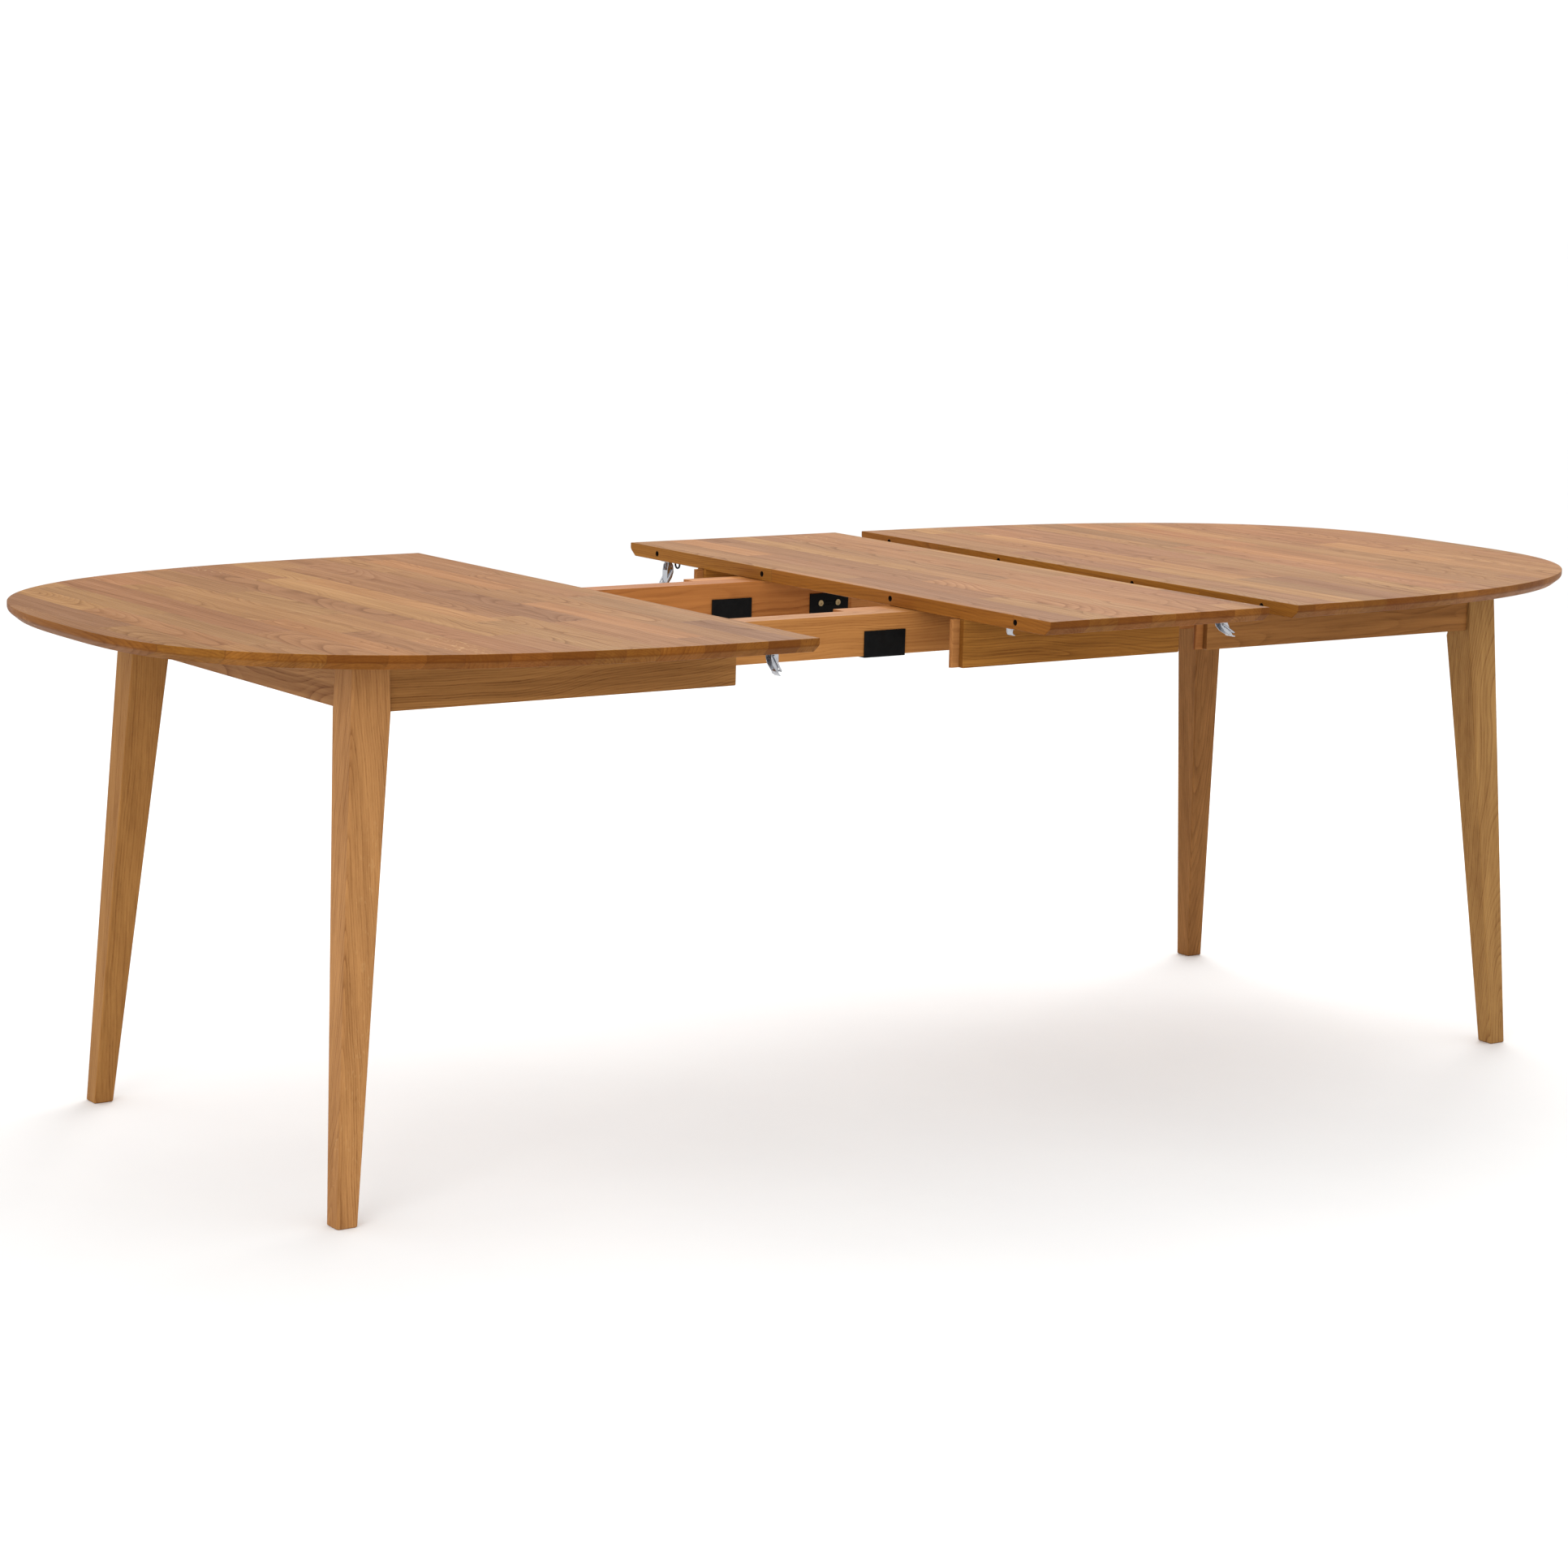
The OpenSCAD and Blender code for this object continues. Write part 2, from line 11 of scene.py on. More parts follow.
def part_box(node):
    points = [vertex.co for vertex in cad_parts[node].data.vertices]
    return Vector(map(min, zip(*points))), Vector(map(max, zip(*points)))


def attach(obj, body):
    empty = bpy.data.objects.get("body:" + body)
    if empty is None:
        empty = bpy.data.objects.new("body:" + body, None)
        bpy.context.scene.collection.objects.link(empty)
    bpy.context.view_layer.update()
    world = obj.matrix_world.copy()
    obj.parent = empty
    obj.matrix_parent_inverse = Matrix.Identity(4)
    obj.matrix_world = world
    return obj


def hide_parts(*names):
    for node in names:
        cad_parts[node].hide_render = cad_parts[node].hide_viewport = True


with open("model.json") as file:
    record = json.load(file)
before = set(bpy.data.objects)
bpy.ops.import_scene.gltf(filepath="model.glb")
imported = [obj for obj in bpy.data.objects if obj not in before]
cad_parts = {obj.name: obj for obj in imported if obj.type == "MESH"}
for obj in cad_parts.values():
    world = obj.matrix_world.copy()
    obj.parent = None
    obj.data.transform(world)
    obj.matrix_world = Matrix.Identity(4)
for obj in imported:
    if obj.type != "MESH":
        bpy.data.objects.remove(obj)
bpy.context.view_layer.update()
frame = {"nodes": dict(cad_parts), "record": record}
NODES = frame["nodes"]
MM = 0.001
BODIES = frame["record"]["behaviour"]["bodies"]
BODY_OF = {node: body for body, nodes in BODIES.items() for node in nodes}


# ---------- camera, light and floor ----------

def make_camera():
    """The camera stands in front of the left end and looks slightly down along the table."""
    place = Vector((-3.291, -4.5595, 1.4076))
    yaw, pitch, roll = 0.6109, 0.1708, 0.0247
    level = math.cos(pitch)
    forward = Vector((math.sin(yaw) * level, math.cos(yaw) * level, -math.sin(pitch)))
    side = Vector((math.cos(yaw), -math.sin(yaw), 0))
    up = side.cross(forward)
    right = side * math.cos(roll) + up * math.sin(roll)
    top = up * math.cos(roll) - side * math.sin(roll)
    data = bpy.data.cameras.new("camera")
    data.sensor_width = 36
    data.lens = 87.42
    data.clip_end = 200
    camera = bpy.data.objects.new("camera", data)
    bpy.context.scene.collection.objects.link(camera)
    turn = Matrix((right, top, -forward)).transposed().to_4x4()
    camera.matrix_world = Matrix.Translation(place) @ turn
    bpy.context.scene.camera = camera


def area_light(name, place, target, size, power):
    data = bpy.data.lights.new(name, "AREA")
    data.shape = "RECTANGLE"
    data.size, data.size_y = size
    data.energy = power
    light = bpy.data.objects.new(name, data)
    bpy.context.scene.collection.objects.link(light)
    light.location = place
    aim = Vector(target) - Vector(place)
    light.rotation_euler = aim.to_track_quat("-Z", "Y").to_euler()


def make_light():
    """A white room, with one large soft light high over the back right and a weaker one front left."""
    world = bpy.data.worlds.new("studio")
    bpy.context.scene.world = world
    world.use_nodes = True
    background = world.node_tree.nodes["Background"]
    background.inputs["Color"].default_value = (1.0, 1.0, 1.0, 1)
    background.inputs["Strength"].default_value = 1.15
    area_light("key", (2.4, 2.2, 3.4), (0.4, 0, 0.6), (3.0, 2.4), 90)
    area_light("fill", (-4.5, -3.0, 2.6), (-0.6, 0, 0.4), (2.4, 2.0), 60)
    bpy.context.scene.view_settings.view_transform = "Standard"


# ---------- node trees ----------

class Graph:
    """Short calls for building a shader node tree. A value is a number or another node's output."""

    def __init__(self, tree):
        self.tree = tree

    def add(self, kind, inputs=None, **settings):
        node = self.tree.nodes.new(kind)
        for name, value in settings.items():
            setattr(node, name, value)
        for socket, value in (inputs or {}).items():
            self.put(node.inputs[socket], value)
        return node

    def put(self, socket, value):
        if isinstance(value, bpy.types.NodeSocket):
            self.tree.links.new(value, socket)
        else:
            socket.default_value = value

    def math(self, operation, a, b=0.0, c=0.0, clamp=False):
        inputs = {0: a, 1: b, 2: c}
        node = self.add("ShaderNodeMath", inputs, operation=operation, use_clamp=clamp)
        return node.outputs[0]

    def combine(self, x, y, z):
        return self.add("ShaderNodeCombineXYZ", {0: x, 1: y, 2: z}).outputs[0]

    def split(self, vector):
        return self.add("ShaderNodeSeparateXYZ", {0: vector}).outputs

    def noise(self, vector, detail=2.0, roughness=0.5, distortion=0.0, scale=1.0):
        inputs = {"Vector": vector, "Scale": scale, "Detail": detail, "Roughness": roughness,
                  "Distortion": distortion}
        return self.add("ShaderNodeTexNoise", inputs).outputs["Fac"]

    def random(self, value):
        """Three random numbers that depend only on value."""
        node = self.add("ShaderNodeTexWhiteNoise", {"W": value}, noise_dimensions="1D")
        return self.add("ShaderNodeSeparateColor", {0: node.outputs["Color"]}).outputs

    def step(self, value, low, high):
        """0 below low and 1 above high, with a smooth way between."""
        inputs = {0: value, 1: low, 2: high}
        node = self.add("ShaderNodeMapRange", inputs, interpolation_type="SMOOTHSTEP")
        return node.outputs[0]

    def ramp(self, value, stops, interpolation="LINEAR"):
        node = self.add("ShaderNodeValToRGB", {0: value})
        ramp = node.color_ramp
        ramp.interpolation = interpolation
        while len(ramp.elements) < len(stops):
            ramp.elements.new(0.5)
        for element, (place, colour) in zip(ramp.elements, stops):
            element.position = place
            element.color = (*colour, 1)
        return node.outputs[0]

    def blend(self, factor, a, b, kind="MIX"):
        node = self.add("ShaderNodeMix", data_type="RGBA", blend_type=kind)
        for socket, value in ((0, factor), (6, a), (7, b)):
            self.put(node.inputs[socket], value)
        return node.outputs[2]


def linear(red, green, blue):
    """A colour given as 8-bit display values, as light."""
    def one(v):
        v /= 255
        return v / 12.92 if v <= 0.04045 else ((v + 0.055) / 1.055) ** 2.4
    return one(red), one(green), one(blue)


def tinted(colour, tone):
    return tuple(a * b for a, b in zip(linear(*colour), tone))


def new_material(name):
    material = bpy.data.materials.new(name)
    material.use_nodes = True
    graph = Graph(material.node_tree)
    shader = material.node_tree.nodes["Principled BSDF"]
    return material, graph, shader


# ---------- oak ----------

def grain_group():
    """Oak in one board: x runs along the grain, y and z across it, from its centre, in metres."""
    tree = bpy.data.node_groups.new("oak_grain", "ShaderNodeTree")
    face = tree.interface
    face.new_socket("Place", in_out="INPUT", socket_type="NodeSocketVector")
    face.new_socket("Seed", in_out="INPUT", socket_type="NodeSocketFloat")
    for name in ("Dark", "Pores", "Fleck"):
        face.new_socket(name, in_out="OUTPUT", socket_type="NodeSocketFloat")
    g = Graph(tree)
    source = g.add("NodeGroupInput")
    x, y, z = g.split(source.outputs["Place"])
    seed = source.outputs["Seed"]
    r1, r2, r3 = g.random(seed)[:3]
    r4, r5, r6 = g.random(g.math("ADD", seed, 51.7))[:3]
    shift = g.math("MULTIPLY", r1, 40.0)

    def along(rate):
        """Place along the grain for a noise with about this many waves per metre."""
        return g.math("MULTIPLY_ADD", x, rate, shift)

    def stretched(rate, across, deep):
        """A place for a noise with these many waves per metre along the grain and across it."""
        return g.combine(along(rate), g.math("MULTIPLY", y, across), g.math("MULTIPLY", z, deep))

    # The pith wanders along the board, and the board was sawn at some distance from it
    drift = g.noise(g.combine(along(2.2), seed, 3.1), 2.0)
    drift2 = g.noise(g.combine(along(3.1), seed, 17.9), 2.0)
    warp = g.noise(g.combine(along(9.0), g.math("MULTIPLY", y, 40.0), z), 2.0)
    wander = g.math("MULTIPLY_ADD", drift, 0.05, -0.025)
    pith_y = g.math("MULTIPLY_ADD", g.math("SUBTRACT", r2, 0.5), 0.12, wander)
    tilt = g.math("MULTIPLY_ADD", r4, 0.16, -0.08)
    pith_z = g.math("MULTIPLY_ADD", x, tilt, g.math("MULTIPLY_ADD", r3, 0.07, 0.012))
    pith_z = g.math("ADD", pith_z, g.math("MULTIPLY_ADD", drift2, 0.06, -0.03))
    dy = g.math("ADD", y, g.math("MULTIPLY_ADD", warp, 0.004, pith_y))
    dz = g.math("ADD", z, pith_z)
    radius = g.math("SQRT", g.math("ADD", g.math("MULTIPLY", dy, dy), g.math("MULTIPLY", dz, dz)))

    # Each year ring starts with a dark porous line and fades into dense late wood
    spacing = g.math("MULTIPLY_ADD", r5, 0.0022, 0.0026)
    year = g.math("DIVIDE", radius, spacing)
    phase = g.math("FRACT", year)
    early = g.math("POWER", g.math("SUBTRACT", 1.0, phase), 2.2)
    early = g.math("MULTIPLY", early, g.step(phase, 0.0, 0.10))
    ring_tone = g.random(g.math("MULTIPLY_ADD", g.math("FLOOR", year), 0.37, seed))[0]
    early = g.math("MULTIPLY", early, g.math("MULTIPLY_ADD", ring_tone, 0.9, 0.25))

    # Fibres: long fine streaks, then short pores that gather in the early wood
    fibre = g.noise(stretched(5.0, 330.0, 330.0), 4.0, 0.62)
    broad = g.noise(stretched(3.0, 55.0, 55.0), 3.0, 0.55)
    pore = g.noise(stretched(60.0, 1500.0, 1500.0), 2.0, 0.6)
    pore = g.math("MULTIPLY", g.step(pore, 0.53, 0.68), g.math("MULTIPLY_ADD", early, 0.9, 0.25))

    dark = g.math("MULTIPLY", early, 0.50)
    for streaks, weight in ((fibre, 0.95), (broad, 1.05)):
        dark = g.math("ADD", dark, g.math("MULTIPLY", g.math("SUBTRACT", streaks, 0.5), weight))
    dark = g.math("ADD", dark, g.math("MULTIPLY_ADD", pore, 0.35, 0.22), clamp=True)

    # Rays: short pale flecks across the grain, only where the rings stand upright to the face
    fleck = g.noise(stretched(75.0, 260.0, 60.0), 1.5, 0.5, 0.8)
    upright = g.step(g.math("ABSOLUTE", g.math("DIVIDE", dy, radius)), 0.90, 0.99)
    shown = g.math("MULTIPLY", upright, g.step(r6, 0.35, 0.75))
    fleck = g.math("MULTIPLY", g.step(fleck, 0.60, 0.70), shown)

    sink = g.add("NodeGroupOutput")
    for name, value in (("Dark", dark), ("Pores", pore), ("Fleck", fleck)):
        g.put(sink.inputs[name], value)
    return tree


GRAIN = grain_group()
TAN = ((184, 137, 90), (197, 152, 106), (201, 156, 110), (190, 138, 94), (190, 149, 101),
       (176, 129, 84), (197, 147, 100), (204, 163, 116), (184, 142, 92), (194, 145, 98))
LATE_WOOD = (122, 78, 44)
RAY = (236, 200, 152)
GLUE_LINE = (92, 56, 32)
# The near-black inside of the dowel holes is painted shade.
HOLE_PAINTED_SHADE = (0.02, 0.012, 0.008, 1)
AXES = {"X": (0, 1, 2), "Y": (1, 0, 2), "Z": (2, 0, 1)}


def to_nearer_end(g, value):
    """How far a value between 0 and 1 is from the nearer of the two."""
    return g.math("SUBTRACT", 0.5, g.math("ABSOLUTE", g.math("SUBTRACT", value, 0.5)))


def glued_staves(g, along, across, seed, stave, run):
    """Staves of uneven width, each cut into boards of uneven length. Gives a number for each board,
    the place across it, and 1 on the glue lines."""
    wave = g.math("MULTIPLY", g.math("SINE", g.math("MULTIPLY_ADD", across, 29.0, seed)), 0.10)
    wave2 = g.math("MULTIPLY", g.math("SINE", g.math("MULTIPLY_ADD", across, 47.0, 2 * seed)), 0.06)
    count = g.math("ADD", g.math("MULTIPLY_ADD", across, 1 / stave, 0.5), g.math("ADD", wave, wave2))
    index = g.math("FLOOR", count)
    part = g.math("SUBTRACT", count, index)
    a, b, _ = g.random(g.math("MULTIPLY_ADD", index, 1.618, seed))[:3]
    length = g.math("MULTIPLY_ADD", b, run, run * 0.6)
    started = g.math("MULTIPLY_ADD", a, 2 * run, g.math("ADD", along, 20.0))
    piece = g.math("DIVIDE", started, length)
    number = g.math("FLOOR", piece)
    board = g.math("ADD", g.math("MULTIPLY_ADD", index, 7.31, seed), g.math("MULTIPLY", number, 3.77))
    edge = g.math("MULTIPLY", to_nearer_end(g, part), stave)
    end = g.math("MULTIPLY", to_nearer_end(g, g.math("SUBTRACT", piece, number)), length)
    line = g.math("SUBTRACT", 1.0, g.step(g.math("MINIMUM", edge, end), 0.0002, 0.0009))
    return board, g.math("MULTIPLY", g.math("SUBTRACT", part, 0.5), stave), line


def in_dowel_hole(g, into, along, deep):
    """1 inside the dowel holes, where into is the distance from the seam that they enter. It masks the
    painted shade in the holes.
    """
    off = g.math("SUBTRACT", g.math("ABSOLUTE", along), (DOWEL_YS[3] + DOWEL_YS[2]) / 2)
    off = g.math("SUBTRACT", g.math("ABSOLUTE", off), (DOWEL_YS[3] - DOWEL_YS[2]) / 2)
    away = g.math("SQRT", g.math("ADD", g.math("MULTIPLY", off, off), g.math("MULTIPLY", deep, deep)))
    near = g.math("LESS_THAN", away, HOLE_RADIUS + 0.2 * MM)
    return g.math("MULTIPLY", near, g.math("LESS_THAN", into, HOLE_DEPTH + 0.5 * MM))


def oak(name, grain, centre, seed, look, staves=None, bored=None):
    """Oiled oak. grain is the axis the fibres follow, and look is one of the looks below.
    staves gives the width and the mean length of glued boards; without it the wood is one board.
    bored is the x of a seam with dowel holes."""
    tone, contrast, flecks = look
    material, g, shader = new_material(name)
    place = g.add("ShaderNodeTexCoord").outputs["Object"]
    offset = {0: place, 1: tuple(-c for c in centre)}
    axes = g.split(g.add("ShaderNodeVectorMath", offset, operation="ADD").outputs[0])
    along, across, deep = (axes[i] for i in AXES[grain])
    board, line = seed, 0.0
    if staves:
        board, across, line = glued_staves(g, along, across, seed, *staves)
    grain_node = g.add("ShaderNodeGroup", node_tree=GRAIN)
    g.put(grain_node.inputs["Place"], g.combine(along, across, deep))
    g.put(grain_node.inputs["Seed"], board)
    dark, pores, fleck = (grain_node.outputs[n] for n in ("Dark", "Pores", "Fleck"))

    # Each board has a colour from the palette, darker where the grain is dense
    pick, lift, _ = g.random(g.math("MULTIPLY_ADD", board, 0.731, 11.0))[:3]
    if staves:
        stops = [(i / len(TAN), tinted(c, tone)) for i, c in enumerate(TAN)]
        pale = g.ramp(pick, stops, "CONSTANT")
    else:
        pale = (*tinted(TAN[int(seed * 7) % len(TAN)], tone), 1)
    late = (*tinted(LATE_WOOD, tone), 1)
    colour = g.blend(g.math("MULTIPLY", dark, 0.62 * contrast, clamp=True), pale, late)
    glow = g.math("MULTIPLY_ADD", lift, 0.24, 0.87)
    colour = g.blend(1.0, colour, g.combine(glow, glow, glow), "MULTIPLY")
    colour = g.blend(g.math("MULTIPLY", fleck, flecks), colour, (*tinted(RAY, tone), 1))
    colour = g.blend(g.math("MULTIPLY", line, 0.30), colour, (*linear(*GLUE_LINE), 1))

    # Sawn ends soak up more oil. On glued boards, painted shade darkens and reddens the upright edges and
    # darkens the underside.
    normal = g.split(g.add("ShaderNodeTexCoord").outputs["Normal"])
    sawn = g.step(g.math("ABSOLUTE", normal[AXES[grain][0]]), 0.45, 0.85)
    soaked = g.math("MULTIPLY", sawn, g.math("MULTIPLY_ADD", pick, 0.45, 0.25))
    colour = g.blend(soaked, colour, late)
    if staves:
        upright = g.math("SUBTRACT", 1.0, g.step(g.math("ABSOLUTE", normal[2]), 0.3, 0.9))
        colour = g.blend(upright, colour, (0.86, 0.78, 0.70, 1), "MULTIPLY")
        below = g.step(g.math("MULTIPLY", normal[2], -1.0), 0.2, 0.5)
        colour = g.blend(below, colour, (0.80, 0.74, 0.68, 1), "MULTIPLY")
    # Painted shade: the insides of the dowel holes are coloured near black.
    if bored is not None:
        into = g.math("ABSOLUTE", g.math("SUBTRACT", axes[0], bored - centre[0]))
        colour = g.blend(in_dowel_hole(g, into, along, deep), colour, HOLE_PAINTED_SHADE)
    g.put(shader.inputs["Base Color"], colour)

    rough = g.math("MULTIPLY_ADD", dark, 0.16, 0.42)
    g.put(shader.inputs["Roughness"], g.math("SUBTRACT", rough, g.math("MULTIPLY", fleck, 0.10)))
    shader.inputs["Specular IOR Level"].default_value = 0.05
    height = g.math("ADD", g.math("MULTIPLY", dark, -0.35), g.math("MULTIPLY", pores, -0.65))
    height = g.math("SUBTRACT", height, g.math("MULTIPLY", line, 0.5))
    bump = g.add("ShaderNodeBump", {"Strength": 0.35, "Distance": 0.0004, "Height": height})
    g.put(shader.inputs["Normal"], bump.outputs[0])
    return material


def metal(name, colour, rough, scale, brushed, dull):
    """Plated or bare metal with fine scratches, finer along each axis the more it is brushed there,
    and slightly duller patches."""
    material, g, shader = new_material(name)
    place = g.add("ShaderNodeTexCoord").outputs["Object"]
    fine = g.add("ShaderNodeVectorMath", {0: place, 1: brushed}, operation="MULTIPLY").outputs[0]
    lines = g.noise(fine, 4.0, 0.6, 0.0, scale)
    patches = g.noise(place, 3.0, 0.6, 0.4, 90.0)
    worn = g.step(patches, 0.42, 0.70)
    tint = g.blend(g.math("MULTIPLY", worn, 0.5), (*colour, 1), (*dull, 1))
    g.put(shader.inputs["Base Color"], tint)
    rough = g.math("MULTIPLY_ADD", lines, 0.18, rough - 0.09)
    g.put(shader.inputs["Roughness"], g.math("MULTIPLY_ADD", worn, 0.12, rough))
    shader.inputs["Metallic"].default_value = 1.0
    bump = g.add("ShaderNodeBump", {"Strength": 0.15, "Distance": 0.0001, "Height": lines})
    g.put(shader.inputs["Normal"], bump.outputs[0])
    return material


def lacquer(name):
    """Black satin lacquer on steel sheet, with a fine orange-peel surface."""
    material, g, shader = new_material(name)
    place = g.add("ShaderNodeTexCoord").outputs["Object"]
    peel = g.noise(place, 2.0, 0.5, 0.0, 1400.0)
    dust = g.noise(place, 4.0, 0.7, 0.0, 60.0)
    tint = g.blend(g.step(dust, 0.35, 0.8), (0.004, 0.004, 0.004, 1), (0.007, 0.007, 0.007, 1))
    g.put(shader.inputs["Base Color"], tint)
    g.put(shader.inputs["Roughness"], g.math("MULTIPLY_ADD", dust, 0.2, 0.32))
    shader.inputs["Specular IOR Level"].default_value = 0.05
    bump = g.add("ShaderNodeBump", {"Strength": 0.2, "Distance": 0.00008, "Height": peel})
    g.put(shader.inputs["Normal"], bump.outputs[0])
    return material


# ---------- meshes ----------

def new_piece(name, mesh, material, node):
    """Puts a mesh in the place of a CAD node of oak, on the same body."""
    for polygon in mesh.polygons:
        polygon.use_smooth = True
    piece = bpy.data.objects.new(name, mesh)
    bpy.context.scene.collection.objects.link(piece)
    mesh.materials.append(material)
    mesh.set_sharp_from_angle(angle=math.radians(28))
    smooth = piece.modifiers.new("normals", "WEIGHTED_NORMAL")
    smooth.weight = 100
    smooth.keep_sharp = True
    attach(piece, BODY_OF[node])
    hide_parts(node)


def edge_profile(thick, band, bevel, ease, blend):
    """The edge of a board as (inset, height) points from the top face down to the underside.
    Its corners are eased, and the band runs into the bevel in a wider curve."""
    beyond = 12 * MM
    corners = [(beyond, thick), (0.0, thick), (0.0, thick - band), (bevel, 0.0), (bevel + beyond, 0.0)]
    corners = [Vector(corner) for corner in corners]
    steps = 5
    points = []
    for before, here, after, size in zip(corners, corners[1:], corners[2:], (ease, blend, ease)):
        start = (before - here).normalized() * size
        end = (after - here).normalized() * size
        for k in range(steps + 1):
            t = k / steps
            points.append(here + start * (1 - t) ** 2 + end * t * t)
    return [(p.x, p.y) for p in points]


def finish_mesh(bm, name):
    bmesh.ops.remove_doubles(bm, verts=bm.verts, dist=1e-7)
    bmesh.ops.recalc_face_normals(bm, faces=bm.faces)
    mesh = bpy.data.meshes.new(name)
    bm.to_mesh(mesh)
    bm.free()
    return mesh


def board_mesh(name, stations, thick, z0):
    """A board that is the same at the front and the back. Each station is (x, half width, x and y of
    the edge's normal, ease): the edge profile stands on the outline there, drawn in by ease."""
    bm = bmesh.new()
    front, back = [], []
    for x, half, nx, ny, ease in stations:
        squeeze = (thick - 2 * ease) / thick
        ring = []
        for inset, height in EDGE:
            reach = inset + ease
            ring.append((x - nx * reach, half - ny * reach, z0 + ease + height * squeeze))
        front.append([bm.verts.new((px, -py, pz)) for px, py, pz in ring])
        back.append([bm.verts.new(point) for point in ring])
    count = len(EDGE)
    for s in range(len(stations) - 1):
        for side in (front, back):
            for i in range(count - 1):
                bm.faces.new((side[s][i], side[s][i + 1], side[s + 1][i + 1], side[s + 1][i]))
        for i in (0, count - 1):
            bm.faces.new((front[s][i], front[s + 1][i], back[s + 1][i], back[s][i]))
    for s in (0, -1):
        if stations[s][1] > 0:
            bm.faces.new(front[s] + back[s][::-1])
    bmesh.ops.dissolve_degenerate(bm, edges=bm.edges, dist=1e-6)
    return finish_mesh(bm, name)


def drill(mesh, holes):
    """Cuts blind dowel holes that enter along +X at each (x, y, z)."""
    board = bpy.data.objects.new("drilled", mesh)
    bpy.context.scene.collection.objects.link(board)
    bm = bmesh.new()
    lengthways = Matrix.Rotation(math.pi / 2, 4, "Y")
    for hole in holes:
        bmesh.ops.create_cone(bm, segments=32, radius1=HOLE_RADIUS, radius2=HOLE_RADIUS,
                              depth=2 * HOLE_DEPTH, cap_ends=True,
                              matrix=Matrix.Translation(hole) @ lengthways)
    tool = bpy.data.objects.new("drill", finish_mesh(bm, "drill"))
    bpy.context.scene.collection.objects.link(tool)
    cut = board.modifiers.new("cut", "BOOLEAN")
    cut.object = tool
    cut.operation = "DIFFERENCE"
    cut.solver = "EXACT"
    bpy.context.view_layer.update()
    graph = bpy.context.evaluated_depsgraph_get()
    result = bpy.data.meshes.new_from_object(board.evaluated_get(graph))
    for extra in (board, tool):
        bpy.data.objects.remove(extra)
    return result


# ---------- tops ----------

TOP_THICK = 20 * MM
EDGE = edge_profile(TOP_THICK, band=9.5 * MM, bevel=13 * MM, ease=1.2 * MM, blend=3.5 * MM)
UNDER_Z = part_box("leaf_top")[0].z
DOWEL_YS = (-456 * MM, -164 * MM, 164 * MM, 456 * MM)
DOWEL_Z = UNDER_Z + TOP_THICK / 2
HOLE_RADIUS, HOLE_DEPTH = 4.1 * MM, 13 * MM
SEAM_EASE = 0.7 * MM
END_POWER_X, END_POWER_Y = 2.5, 2.9
END_STEPS = 140


def half_top_mesh(node, side):
    """D-shaped board. side is the direction from its seam to its rounded end, 1 or -1 along X."""
    low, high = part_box(node)
    seam = low.x if side > 0 else high.x
    length, width = high.x - low.x, high.y
    stations = [(seam, width, 0, 1, SEAM_EASE), (seam + side * SEAM_EASE, width, 0, 1, 0)]
    for i in range(1, END_STEPS + 1):
        a = math.pi / 2 * i / END_STEPS
        u = math.sin(a) ** (2 / END_POWER_X)
        v = 0.0 if i == END_STEPS else math.cos(a) ** (2 / END_POWER_Y)
        normal = Vector((u ** (END_POWER_X - 1) / length, v ** (END_POWER_Y - 1) / width)).normalized()
        stations.append((seam + side * u * length, v * width, side * normal.x, normal.y, 0))
    mesh = board_mesh(node, stations, TOP_THICK, UNDER_Z)
    if side > 0:
        mesh = drill(mesh, [(seam, y, DOWEL_Z) for y in DOWEL_YS])
    return mesh


def leaf_top_mesh(node):
    """Straight board with the same edge at its two ends."""
    low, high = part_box(node)
    stations = [(low.x, high.y, 0, 1, SEAM_EASE), (low.x + SEAM_EASE, high.y, 0, 1, 0),
                (high.x - SEAM_EASE, high.y, 0, 1, 0), (high.x, high.y, 0, 1, SEAM_EASE)]
    mesh = board_mesh(node, stations, TOP_THICK, UNDER_Z)
    return drill(mesh, [(low.x, y, DOWEL_Z) for y in DOWEL_YS])


# ---------- legs ----------

FOOT = 29.5 * MM
HEAD_X, HEAD_Y = 53 * MM, 49 * MM
FLAT, RUN_OUT = 8 * MM, 13 * MM
FOOT_CHAMFER = 1.5 * MM
OUTER_ROUND, CORNER_ROUND, ROUND_STEPS = 3.5 * MM, 2 * MM, 6
APRON_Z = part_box("left_apron_end")[0].z


def leg_ring(low, high, flat):
    """A rectangle with rounded corners. The inner corner is cut by a flat, unless that is 0."""
    points = []
    inner, outer = 0, 2
    corners = ((low[0], low[1], 1, 1), (high[0], low[1], -1, 1),
               (high[0], high[1], -1, -1), (low[0], high[1], 1, -1))
    for k, (x, y, sx, sy) in enumerate(corners):
        r = OUTER_ROUND if k == outer else CORNER_ROUND
        for i in range(ROUND_STEPS + 1):
            t = i / ROUND_STEPS
            a = math.pi + (k + t) * math.pi / 2
            if k == inner and flat:
                points.append((x + flat * t, y + flat * (1 - t)))
            else:
                points.append((x + sx * r + r * math.cos(a), y + sy * r + r * math.sin(a)))
    return points


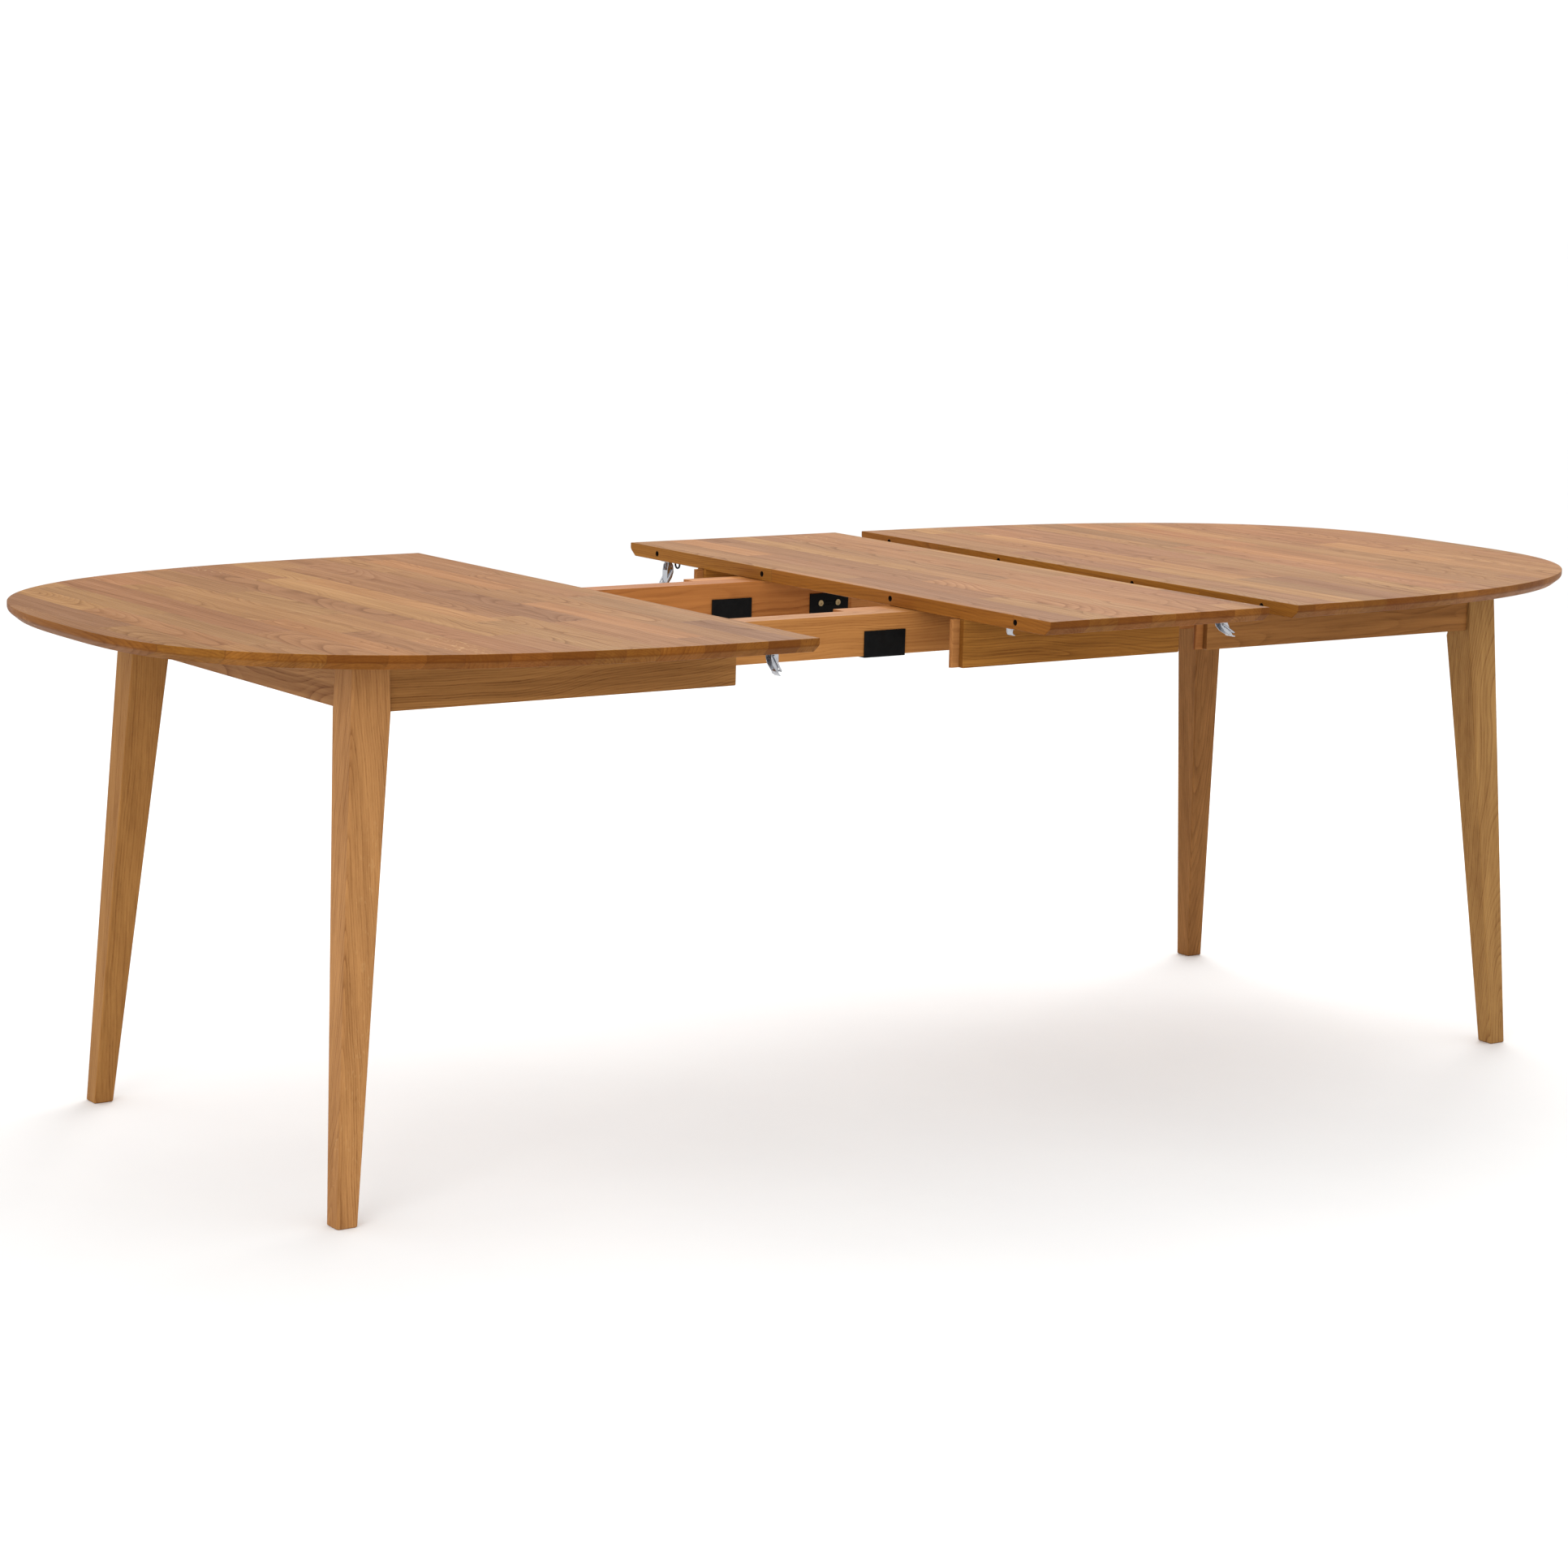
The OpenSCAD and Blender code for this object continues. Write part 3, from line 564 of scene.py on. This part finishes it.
def leg_mesh(node, side_x, side_y):
    """Splayed leg that tapers straight to the foot. The head's inner corner has a flat for the bolt."""
    low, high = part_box(node)
    inner_x, foot_x = sorted((abs(low.x), abs(high.x)))
    inner_y, foot_y = sorted((abs(low.y), abs(high.y)))
    bm = bmesh.new()
    rings = []
    levels = [(0.0, FOOT_CHAMFER, 0), (FOOT_CHAMFER, 0, 0)]
    levels += [(z, 0, 0) for z in (0.15, 0.3, 0.45, 0.6, APRON_Z - RUN_OUT)]
    levels += [(APRON_Z, 0, FLAT), (UNDER_Z, 0, FLAT)]
    for z, inset, flat in levels:
        lean = 1 - z / UNDER_Z
        taper = max(0, 1 - z / APRON_Z)
        outer_x = inner_x + HEAD_X + (foot_x - inner_x - HEAD_X) * lean - inset
        outer_y = inner_y + HEAD_Y + (foot_y - inner_y - HEAD_Y) * lean - inset
        low_x = inner_x + (foot_x - FOOT - inner_x) * taper + inset
        low_y = inner_y + (foot_y - FOOT - inner_y) * taper + inset
        ring = leg_ring((low_x, low_y), (outer_x, outer_y), flat)
        rings.append([bm.verts.new((side_x * x, side_y * y, z)) for x, y in ring])
    for lower, upper in zip(rings, rings[1:]):
        for i in range(len(lower)):
            j = (i + 1) % len(lower)
            bm.faces.new((lower[i], lower[j], upper[j], upper[i]))
    bm.faces.new(rings[0][::-1])
    bm.faces.new(rings[-1])
    return finish_mesh(bm, node)


# ---------- carried-over parts ----------

def dress(node, material, ease, segments=2):
    """A CAD node keeps its shape, and gets a material, and rounds of size ease on its edges."""
    obj = NODES[node]
    obj.data.materials.clear()
    obj.data.materials.append(material)
    for polygon in obj.data.polygons:
        polygon.use_smooth = True
    weld = obj.modifiers.new("weld", "WELD")
    weld.merge_threshold = 1e-6
    if ease:
        bevel = obj.modifiers.new("ease", "BEVEL")
        bevel.width = ease
        bevel.segments = segments
        bevel.limit_method = "ANGLE"
        bevel.angle_limit = math.radians(35)
    smooth = obj.modifiers.new("normals", "WEIGHTED_NORMAL")
    smooth.weight = 80


def middle(node):
    low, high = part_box(node)
    return tuple((low + high) / 2)


# Each look is the tone of the wood, the contrast of its grain, and how much the rays show. The aprons'
# tones are darker than the legs', partly wood and partly painted shade under the top's overhang.
LOOK_TOP = ((0.63, 0.475, 0.185), 1.35, 0.55)
LOOK_APRON = {"left": ((0.66, 0.59, 0.40), 1.7, 0.2), "leaf": ((0.68, 0.55, 0.23), 1.7, 0.2),
              "right": ((0.72, 0.64, 0.41), 1.7, 0.2)}
LOOK_END = ((0.72, 0.58, 0.44), 1.7, 0.2)
LOOK_RAIL = ((1.0, 0.75, 0.49), 1.4, 0.0)
LOOK_TONGUE = ((0.70, 0.50, 0.32), 1.1, 0.0)
STAVE_WIDTH, BOARD_LENGTH = 52 * MM, 420 * MM

# The legs were cut from four different boards: their seeds and looks. The back legs' darker tones, the
# right back leg's most, are painted shade from standing further under the table.
LEGS = {"left_leg_front": (1.4, ((0.80, 0.74, 0.60), 1.45, 0.15)),
        "left_leg_back": (2.2, ((0.76, 0.72, 0.52), 1.45, 0.15)),
        "right_leg_front": (6.3, ((0.80, 0.74, 0.56), 1.45, 0.15)),
        "right_leg_back": (4.8, ((0.54, 0.49, 0.34), 1.45, 0.15))}


def make_tops():
    for node, seed in (("left_top", 3.3), ("right_top", 8.9), ("leaf_top", 5.7)):
        bored = None if node == "left_top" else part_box(node)[0].x
        material = oak("oak_" + node, "Y", middle(node), seed, LOOK_TOP, (STAVE_WIDTH, BOARD_LENGTH), bored)
        if node == "leaf_top":
            mesh = leaf_top_mesh(node)
        else:
            mesh = half_top_mesh(node, -1 if node == "left_top" else 1)
        new_piece(node + "_board", mesh, material, node)


def make_legs():
    for node, (seed, look) in LEGS.items():
        side_x = 1 if node.startswith("right") else -1
        side_y = 1 if node.endswith("back") else -1
        material = oak("oak_" + node, "Z", middle(node), seed, look)
        new_piece(node + "_wood", leg_mesh(node, side_x, side_y), material, node)


def make_woodwork():
    """Everything of wood that keeps its CAD shape."""
    seed = 20.0
    for node in NODES:
        grain = "Y" if node.endswith("apron_end") or "brace" in node else "X"
        if "apron" in node or "rail_front" in node or "rail_back" in node or "brace" in node:
            ease = 1.5 * MM
        elif any(word in node for word in ("tongues", "glue", "dowels")):
            ease = 0.8 * MM
        else:
            continue
        if "rail" in node:
            look = LOOK_RAIL
        elif "tongues" in node or "dowels" in node:
            look = LOOK_TONGUE
        elif grain == "Y":
            look = LOOK_END
        else:
            look = LOOK_APRON[node.split("_")[0]]
        seed += 1.37
        dress(node, oak("oak_" + node, grain, middle(node), seed, look), ease)


def make_hardware():
    """Everything of metal."""
    zinc = metal("bright_zinc", (0.46, 0.47, 0.50), 0.26, 600.0, (1, 6, 6), (0.24, 0.25, 0.27))
    steel = metal("bolt_steel", (0.50, 0.50, 0.52), 0.36, 500.0, (6, 6, 1), (0.32, 0.31, 0.30))
    yellow = metal("yellow_zinc", (0.34, 0.25, 0.13), 0.36, 700.0, (1, 1, 1), (0.20, 0.16, 0.10))
    black = lacquer("black_lacquer")
    for node in NODES:
        if "latch_screws" in node or "bracket_screws" in node:
            dress(node, yellow, 0.15 * MM)
        elif any(word in node for word in ("rail_screws", "leg_bolts", "leg_nuts")):
            dress(node, steel, 0.3 * MM)
        elif "slide_brackets" in node:
            dress(node, black, 0.6 * MM, 3)
        elif "staple" in node:
            dress(node, black, 0)
        elif "latch" in node or "keeper" in node:
            dress(node, zinc, 0.25 * MM)


def make_floor():
    """A plain pale floor with a barely seen mottle."""
    mesh = bpy.data.meshes.new("floor")
    reach = 40
    corners = [(-reach, -reach, 0), (reach, -reach, 0), (reach, reach, 0), (-reach, reach, 0)]
    mesh.from_pydata(corners, [], [(0, 1, 2, 3)])
    floor = bpy.data.objects.new("floor", mesh)
    bpy.context.scene.collection.objects.link(floor)
    material, g, shader = new_material("pale_floor")
    place = g.add("ShaderNodeTexCoord").outputs["Object"]
    mottle = g.noise(place, 4.0, 0.6, 0.0, 3.0)
    g.put(shader.inputs["Base Color"], g.blend(mottle, (0.86, 0.86, 0.86, 1), (0.90, 0.90, 0.89, 1)))
    shader.inputs["Roughness"].default_value = 0.75
    mesh.materials.append(material)


make_camera()
make_light()
make_floor()
make_tops()
make_legs()
make_woodwork()
make_hardware()
